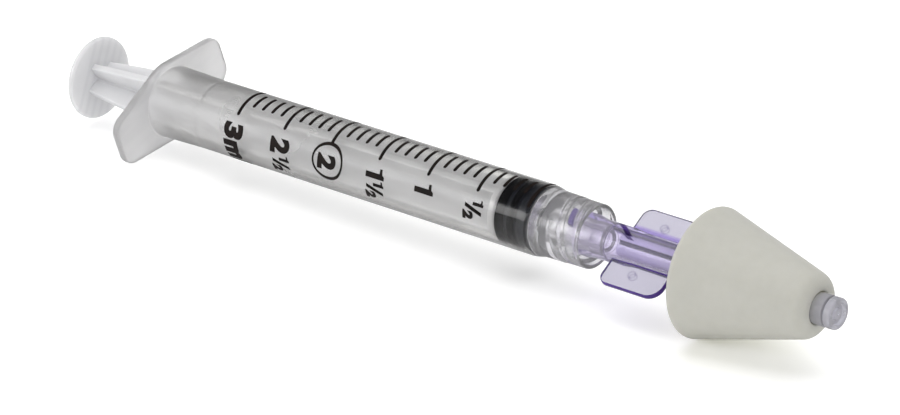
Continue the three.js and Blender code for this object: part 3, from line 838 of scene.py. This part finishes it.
bars = add(tree, "GeometryNodeInstanceOnPoints", {
    "Points": spread.outputs[0], "Instance": bar.outputs[0],
    "Scale": joined(tree, 1.0, 1.0, half_chord)})
proud = sum_of(tree, "MULTIPLY", sum_of(tree, "SUBTRACT", given["Height"], given["Sink"]), 0.5)
placed = add(tree, "GeometryNodeTransform", {
    "Geometry": bars.outputs[0],
    "Translation": joined(tree, sum_of(tree, "SUBTRACT", given["Face"], proud), 0.0,
                          given["Axis"]),
    "Rotation": joined(tree, given["Lean"], 0.0, 0.0)})
end_tree(tree, placed.outputs[0], given["Material"])


def mixed(tree, factor, first, second):
    """Goes from a colour's socket to a second colour as the factor goes from 0 to 1."""
    return add(tree, "ShaderNodeMix", {"Factor": factor, 6: first, 7: (*second, 1)},
               data_type="RGBA").outputs[2]


milky, tree = new_material("milky_polypropylene")
face = moulded(tree, cloud=160.0, scuff=500.0)
place = own_place(tree)
lean = math.radians(grip_lean)
across = add(tree, "ShaderNodeVectorMath", {
    0: place, 1: (0, math.cos(lean), math.sin(lean))}, operation="DOT_PRODUCT")
across = sum_of(tree, "SUBTRACT", across.outputs["Value"], axis_height * math.sin(lean))
# painted shade: the thumb rest is a little darker along each grip bar
off_bar = sum_of(tree, "ABSOLUTE", sum_of(
    tree, "WRAP", across, grip_pitch * mm / 2, -grip_pitch * mm / 2))
on_bar = ranged(tree, off_bar, 0.15 * mm, 0.45 * mm, 1.0, 0.0)
in_rest = ranged(tree, split(tree, place)["X"], zero_line + (thumb_front + 0.15) * mm,
                 zero_line + (thumb_front - 0.05) * mm)
in_row = sum_of(tree, "LESS_THAN", sum_of(tree, "ABSOLUTE", across),
                grip_count * grip_pitch / 2 * mm)
painted_bar_shade = sum_of(tree, "MULTIPLY", sum_of(tree, "MULTIPLY", on_bar, in_rest), in_row)
shade = mixed(
    tree, sum_of(tree, "MULTIPLY", painted_bar_shade, 0.40),
    colours(tree, face["Cloud"], (0.3, (0.57, 0.57, 0.58)), (0.7, (0.62, 0.62, 0.63))),
    (0.49, 0.49, 0.51))
shader = plastic(
    tree, shade, plus(tree, 0.32, face["Scuffs"], 0.2),
    relief_of(tree, plus(tree, face["Grain"], face["Cloud"], 4.0), 0.20, 0.03), IOR=1.49,
    Subsurface_Weight=1.0, Subsurface_Radius=(1.0, 1.0, 1.0), Subsurface_Scale=0.003)
let_lamps_through(tree, shader, (0.75, 0.75, 0.76))

bars = in_scene("grip_bars", bpy.data.meshes.new("grip_bars"))
maker = bars.modifiers.new("grip_bars", "NODES")
maker.node_group = grip_tree
set_inputs(maker, Face=zero_line + thumb_rear * mm, Axis=axis_height, Material=milky)
softened = bars.modifiers.new("soft_edges", "BEVEL")
softened.width, softened.segments = 0.06 * mm, 2
through_modifiers(bars)
rod = combined(rod, bars)
dress(rod, milky)
crisp(rod)
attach(rod, "plunger")
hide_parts("plunger_rod")


# ---- Rubber stopper ----
# Black synthetic rubber with three sealing ribs pressed to the bore. A pocket in its rear
# holds the rod's button.
rib_radius, groove_radius = 4.27, 3.85
pocket_mouth_radius, pocket_radius = 1.60, 2.25
rear_groove, middle_groove = (-3.95, -3.25), -2.10
stopper = turned("rubber_stopper_black", rounded([
    (-5.5, pocket_mouth_radius, 0.1), (-5.5, groove_radius, 0.15), (-5.38, 3.90, 0.05),
    (-5.28, rib_radius, 0.12), (-4.02, rib_radius, 0.12), (-3.92, groove_radius, 0.15),
    (-3.28, groove_radius, 0.15), (-3.18, rib_radius, 0.12), (-2.12, rib_radius, 0.12),
    (-2.02, groove_radius, 0.15), (-1.68, groove_radius, 0.12), (-1.58, rib_radius, 0.12),
    (-0.37, rib_radius, 0.12), (-0.25, groove_radius, 0.15), (0, 3.70, 0.15), (0, 0, 0),
    (-2.3, 0, 0), (-2.3, 1.45, 0.1), (-3.3, pocket_radius, 0.2), (-4.6, pocket_radius, 0.2),
    (-4.6, pocket_mouth_radius, 0.1),
]))


def rubber(name, shades, roughness, gloss):
    """Black rubber: two near shades, the least and the most roughness, and how it shines."""
    material, tree = new_material(name)
    face = moulded(tree, cloud=300.0, grain=5000.0, scuff=400.0)
    finish_material(tree, plastic(
        tree, colours(tree, face["Cloud"], (0.3, shades[0]), (0.7, shades[1])),
        ranged(tree, face["Cloud"], 0.0, 1.0, *roughness),
        relief_of(tree, plus(tree, face["Grain"], face["Cloud"], 3.0), 0.20, 0.03),
        Specular_IOR_Level=gloss))
    return material


# painted shade and sheen: the rear and middle ribs are painted dead black with almost no gloss;
# the rear groove and the front get a lighter blue-grey painted sheen and more gloss
dress(stopper,
      rubber("black_rubber_painted_shade", ((0.001, 0.001, 0.0015), (0.003, 0.003, 0.004)),
             (0.35, 0.50), 0.02),
      rubber("black_rubber_painted_sheen", ((0.007, 0.008, 0.012), (0.013, 0.015, 0.021)),
             (0.25, 0.40), 0.38))
for panel in stopper.data.polygons:
    station = station_of(panel.center)
    in_groove = rear_groove[0] < station < rear_groove[1]
    panel.material_index = int(in_groove or station > middle_groove)
crisp(stopper)
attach(stopper, "stopper")
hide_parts("rubber_stopper")


# ---- Atomizer body ----
# One moulding of violet-tinted clear plastic: female luer hub with two lugs, a shoulder, two
# finger wings and the slim tube. Deep violet is painted on as shade in the low wing's rim, the
# lugs and the wings' roots.
hub_mouth, hub_radius = 5.6, 2.95
luer_taper, luer_gap = 0.03, 0.05  # mm of radius for each mm, and the clearance all round
lug_radius, lug_width, lug_base = 3.80, 0.85, 1.05
lug_station, lug_middle, lug_span = 6.25, 126, 44
lug_rows_start, lug_rows_end, lug_step = 5.80, 8.2, 0.08
neck_radius, neck_end = 2.70, 14.4
tube_radius, tip_radius, tube_bore, tube_end = 2.5, 2.15, 1.55, 46.3
wing_rear, wing_front, wing_radius = 12.9, 22.6, 6.4
wing_thickness, wing_roll, wing_edge, wing_root = 0.85, -57, 0.22, 2.62
pin_station, pin_reach, pin_radius = -0.45, 4.05, 0.52  # the station is from the wings' middle
band_start, band_slope = -4.65, 3.6  # mm from the wings' middle, and mm for each radian
band_middle, band_half, band_width = 0.05, 0.50, 0.62  # radians from the top; mm
haze_start = 42.9


def female_cone(station):
    """The hub's inside radius: the male cone's, with the gap."""
    return luer_root_radius - luer_taper * (station - collar_floor) + luer_gap


atomizer = turned("atomizer_body_violet", rounded([
    (hub_mouth, female_cone(hub_mouth), 0.08), (hub_mouth, hub_radius, 0.12),
    (5.78, hub_radius, 0),
]) + [
    (float(x), hub_radius) for x in np.arange(lug_rows_start, lug_rows_end, lug_step)
] + rounded([
    (lug_rows_end, hub_radius, 0), (9.4, neck_radius, 0.3), (neck_end, neck_radius, 0.1),
    (15.2, 2.60, 0.1), (16.2, tube_radius, 0.1), (40.0, tube_radius, 0), (43.0, tip_radius, 0),
    (tube_end, tip_radius, 0.1), (tube_end, tube_bore, 0.1), (11.4, tube_bore, 0.1),
    (11.4, female_cone(11.4), 0.05),
]))
# the lugs: each swells the hub along a short piece of the thread's helix
for v in atomizer.data.vertices:
    station = station_of(v.co)
    off_hub = abs(math.hypot(v.co.y, v.co.z - axis_height) / mm - hub_radius)
    if off_hub > 0.01 or not lug_rows_start - 0.05 < station < lug_rows_end + 0.05:
        continue
    angle = math.degrees(math.atan2(v.co.z - axis_height, v.co.y))
    for middle in (lug_middle, lug_middle + 180):
        turn_off = (angle - middle + 180) % 360 - 180
        aside = abs(station - lug_station - thread_lead * turn_off / 360)
        flank = min(1, max(0, (lug_base / 2 - aside) / ((lug_base - lug_width) / 2 + 0.06)))
        ends = min(1, max(0, (lug_span / 2 - abs(turn_off)) / 2.5))
        grow = 1 + (lug_radius / hub_radius - 1) * flank * ends
        v.co.y, v.co.z = v.co.y * grow, axis_height + (v.co.z - axis_height) * grow
wings = plate_piece("wings", rounded([
    (wing_rear, -wing_radius, 1.4), (wing_front, -wing_radius, 2.0),
    (wing_front, wing_radius, 2.0), (wing_rear, wing_radius, 1.4),
], steps=12), wing_thickness, wing_roll, wing_edge)
bore = turned("bore", [(12.0, 0), (12.0, 2.0), (24.0, 2.0), (24.0, 0)])
atomizer = combined(atomizer, combined(wings, bore, operation="DIFFERENCE"))

violet, tree = new_material("violet_clear")
face = moulded(tree, cloud=150.0, scuff=300.0)
wings_middle = zero_line + (wing_rear + wing_front) / 2 * mm
level = add(tree, "ShaderNodeMapping", {
    "Vector": own_place(tree), "Location": (-wings_middle, 0, -axis_height)}).outputs[0]
upright = add(tree, "ShaderNodeMapping", {
    "Vector": level, "Rotation": (math.radians(-wing_roll), 0, 0)})
along, _, reach = split(tree, upright.outputs[0])
far_out = sum_of(tree, "ABSOLUTE", reach)
on_wing = sum_of(tree, "GREATER_THAN", far_out, wing_root * mm)
# the round mark that an ejector pin leaves in the middle of each wing
from_pin = long_side(tree, sum_of(tree, "SUBTRACT", along, pin_station * mm),
                     sum_of(tree, "SUBTRACT", far_out, pin_reach * mm))
off_mark = sum_of(tree, "ABSOLUTE", sum_of(tree, "SUBTRACT", from_pin, pin_radius * mm))
pin_mark = sum_of(tree, "MULTIPLY", ranged(tree, off_mark, 0.22 * mm, 0.06 * mm), on_wing)
# painted shade: a deeper violet band along the root of the high wing
painted_root_shade = sum_of(tree, "MULTIPLY", ranged(tree, reach, 3.45 * mm, 3.25 * mm),
                   sum_of(tree, "GREATER_THAN", reach, wing_root * mm))
# painted shade: a dark band slants round the top of the neck, where it steps down to the tube
x, y, z = split(tree, level)
round_by = sum_of(tree, "ARCTAN2", sum_of(tree, "MULTIPLY", y, -1.0), z)
band_at = plus(tree, band_start * mm, round_by, band_slope * mm)
off_band = sum_of(tree, "ABSOLUTE", sum_of(tree, "SUBTRACT", x, band_at))
off_middle = sum_of(tree, "ABSOLUTE", sum_of(tree, "SUBTRACT", round_by, band_middle))
painted_neck_shade = sum_of(
    tree, "MULTIPLY", ranged(tree, off_band, band_width * mm, (band_width - 0.12) * mm),
    ranged(tree, off_middle, band_half, band_half - 0.05))
shade = colours(tree, face["Cloud"], (0.3, (0.905, 0.875, 0.97)), (0.7, (0.935, 0.91, 0.985)))
for mask, tint in ((on_wing, (0.73, 0.72, 0.79)), (pin_mark, (0.46, 0.44, 0.56)),
                   (painted_root_shade, (0.46, 0.38, 0.74)), (painted_neck_shade, (0.035, 0.012, 0.13))):
    shade = mixed(tree, mask, shade, tint)
shader = plastic(
    tree, shade, plus(tree, 0.08, face["Scuffs"], 0.12),
    relief_of(tree, plus(tree, face["Grain"], face["Cloud"], 5.0), 0.06, 0.02),
    IOR=1.38, Transmission_Weight=0.92)
let_lamps_through(tree, shader, (0.95, 0.94, 0.975), ((0.42, 0.26, 0.86), 110.0))

# painted shade: deep violet, for the low wing's rim, the lugs and the wings' roots
violet_painted_shade, tree = new_material("violet_painted_shade")
face = moulded(tree, cloud=500.0, scuff=600.0)
shader = plastic(
    tree,
    colours(tree, face["Cloud"], (0.3, (0.045, 0.012, 0.19)), (0.7, (0.09, 0.035, 0.29))),
    plus(tree, 0.25, face["Scuffs"], 0.2), relief_of(tree, face["Grain"], 0.10, 0.01),
    IOR=1.50, Transmission_Weight=0.25)
finish_material(tree, shader)

# the end of the tube and the nozzle are hazier
nozzle_plastic, tree = new_material("nozzle_plastic")
face = moulded(tree, cloud=400.0, grain=5000.0, scuff=600.0)
shader = plastic(
    tree,
    colours(tree, face["Cloud"], (0.3, (0.58, 0.575, 0.62)), (0.7, (0.66, 0.655, 0.70))),
    plus(tree, 0.20, face["Scuffs"], 0.10), relief_of(tree, face["Grain"], 0.06, 0.01),
    IOR=1.50, Transmission_Weight=0.55)
let_lamps_through(tree, shader, (0.90, 0.89, 0.93))

dress(atomizer, violet, violet_painted_shade, nozzle_plastic)
roll = math.radians(wing_roll)
wing_side = Vector((0, math.cos(roll), math.sin(roll)))
wing_up = Vector((0, -wing_side.z, wing_side.y))
# painted shade: the low wing's rim and the lugs take the deep violet; the tube's end takes the
# nozzle plastic
for panel in atomizer.data.polygons:
    station = station_of(panel.center)
    off_axis = panel.center - Vector((panel.center.x, 0, axis_height))
    if wing_rear - 0.1 < station < wing_front + 0.4:
        in_rim = off_axis.dot(wing_up) / mm < -2.66 and abs(panel.normal.dot(wing_side)) < 0.80
        panel.material_index = int(in_rim)
    elif station > haze_start:
        panel.material_index = 2
    else:
        panel.material_index = int(off_axis.length / mm > hub_radius + 0.2)
crisp(atomizer)

# painted shade: deep violet strips along both wings' roots, where the wings meet the tube
roots = []
for side in (-1, 1):
    roots.append(plate_piece("wing_root", [
        (wing_rear + 0.1, side * 2.42), (wing_front - 0.1, side * 2.42),
        (wing_front - 0.1, side * 2.60), (wing_rear + 0.1, side * 2.60),
    ], wing_thickness + 0.06, wing_roll, 0.03))
wing_root_shade = combined(*roots)
wing_root_shade.name = "wing_root_shade"
dress(wing_root_shade, violet_painted_shade)
crisp(wing_root_shade)
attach(wing_root_shade, "atomizer")
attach(atomizer, "atomizer")
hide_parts("atomizer_body")


# ---- Swirl core ----
# A small violet plug inside the tube. Three flutes carry the liquid forward and slots across
# its nose spin it into a mist. It moves out with the atomizer.
core_radius, core_rear, core_shoulder, core_nose, core_nose_radius = 1.45, 13.2, 43.7, 46.55, 0.78
flute_count, flute_width, flute_depth, flute_turn = 3, 0.55, 0.45, 141
slot_width, slot_depth = 0.30, 0.30
core_facets = 192
third = 2 * math.pi / flute_count
core_around = 2 * math.pi * np.arange(core_facets) / core_facets
off_flute = (core_around - math.radians(flute_turn) + third / 2) % third - third / 2
in_flute = core_radius * np.sin(np.abs(off_flute)) < flute_width / 2
fluted = np.where(in_flute, (core_radius - flute_depth) / np.cos(off_flute), core_radius)
core = turned("swirl_core_violet", [
    (core_rear, 0), (core_rear, fluted - 0.10), (core_rear + 0.3, fluted),
    (core_shoulder, fluted),
    *rounded([(core_shoulder, core_nose_radius, 0.05), (core_nose, core_nose_radius, 0.05),
              (core_nose, 0, 0)])[:-1], (core_nose, 0),
], core_facets)
slots = [plate_piece("swirl_slot", [
    (core_nose - slot_depth, -core_radius), (core_nose + slot_depth, -core_radius),
    (core_nose + slot_depth, core_radius), (core_nose - slot_depth, core_radius),
], slot_width, side, 0) for side in (0, 90)]
core = combined(core, *slots, operation="DIFFERENCE")
core_plastic, tree = new_material("violet_core_plastic")
face = moulded(tree, cloud=200.0, scuff=300.0)
x, y, z = split(tree, own_place(tree))
from_axis = long_side(tree, y, sum_of(tree, "SUBTRACT", z, axis_height))
# painted shade: darker down in the flutes
painted_flute_shade = ranged(tree, from_axis, (core_radius - 0.06) * mm, (core_radius - 0.20) * mm)
shade = mixed(
    tree, painted_flute_shade,
    colours(tree, face["Cloud"], (0.3, (0.52, 0.49, 0.62)), (0.7, (0.60, 0.57, 0.69))),
    (0.10, 0.095, 0.14))
shader = plastic(
    tree, shade, plus(tree, 0.15, face["Scuffs"], 0.2),
    relief_of(tree, face["Grain"], 0.08, 0.02), IOR=1.50, Subsurface_Weight=0.4,
    Subsurface_Radius=(1.0, 0.9, 1.0), Subsurface_Scale=0.001)
finish_material(tree, shader)
dress(core, core_plastic)
crisp(core)
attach(core, "core")
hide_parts("swirl_core")


# ---- Nozzle tip ----
# A pale violet cup pressed into the end of the tube. Its recessed face has a low boss with
# the fine spray hole.
nozzle_rear, nozzle_collar, nozzle_front, nozzle_recess = 44.0, 46.6, 47.8, 47.3
skirt_radius, skirt_bore, spray_radius = 1.45, 1.05, 0.16
nozzle = turned("nozzle_tip_violet", rounded([
    (nozzle_rear, skirt_bore, 0.05), (nozzle_rear, skirt_radius, 0.1),
    (nozzle_collar, skirt_radius, 0.05), (nozzle_collar, tip_radius, 0.15),
    (nozzle_front, tip_radius, 0.30), (nozzle_front, 1.55, 0.12), (nozzle_recess, 1.45, 0.08),
    (nozzle_recess, 0.85, 0.08), (47.65, 0.75, 0.1), (47.65, spray_radius, 0.04),
    (46.85, spray_radius, 0.02), (46.85, skirt_bore, 0.1),
]), 128)
dress(nozzle, nozzle_plastic)
crisp(nozzle)
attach(nozzle, "atomizer")
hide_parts("nozzle_tip")


# ---- Nose plug ----
# A soft matte elastomer cone pushed over the tube. It seals the nostril and carries the front
# end of the whole assembly on the table.
plug_rear, plug_front, plug_rear_radius, plug_front_radius = 26.5, 44.8, 9.115, 4.15
plug_bore, plug_front_bore = 2.60, 2.25
plug = turned("nose_plug_soft", rounded([
    (plug_rear, plug_bore, 0.3), (plug_rear, plug_rear_radius, 0.70),
    (plug_front, plug_front_radius, 2.0), (plug_front, plug_front_bore, 0.25),
    (43.0, plug_front_bore, 0), (40.0, plug_bore, 0),
], steps=12), 192)
soft_white, tree = new_material("soft_white_elastomer")
face = moulded(tree, cloud=60.0, grain=3200.0, scuff=300.0)
mottle = add(tree, "ShaderNodeTexNoise", {
    "Vector": own_place(tree), "Scale": 700.0, "Detail": 4.0}).outputs["Fac"]
cloudy = sum_of(tree, "ADD", sum_of(tree, "MULTIPLY", face["Cloud"], 0.6),
                sum_of(tree, "MULTIPLY", mottle, 0.4))
shader = plastic(
    tree, colours(tree, cloudy, (0.3, (0.48, 0.475, 0.43)), (0.7, (0.53, 0.525, 0.48))),
    ranged(tree, face["Grain"], 0.0, 1.0, 0.55, 0.75),
    relief_of(tree, plus(tree, face["Grain"], mottle, 2.0), 0.35, 0.04), Sheen_Weight=0.15,
    Subsurface_Weight=0.35, Subsurface_Radius=(1.0, 0.95, 0.75), Subsurface_Scale=0.002)
let_lamps_through(tree, shader, (0.42, 0.42, 0.20))
dress(plug, soft_white)
crisp(plug)
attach(plug, "atomizer")
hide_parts("nose_plug")
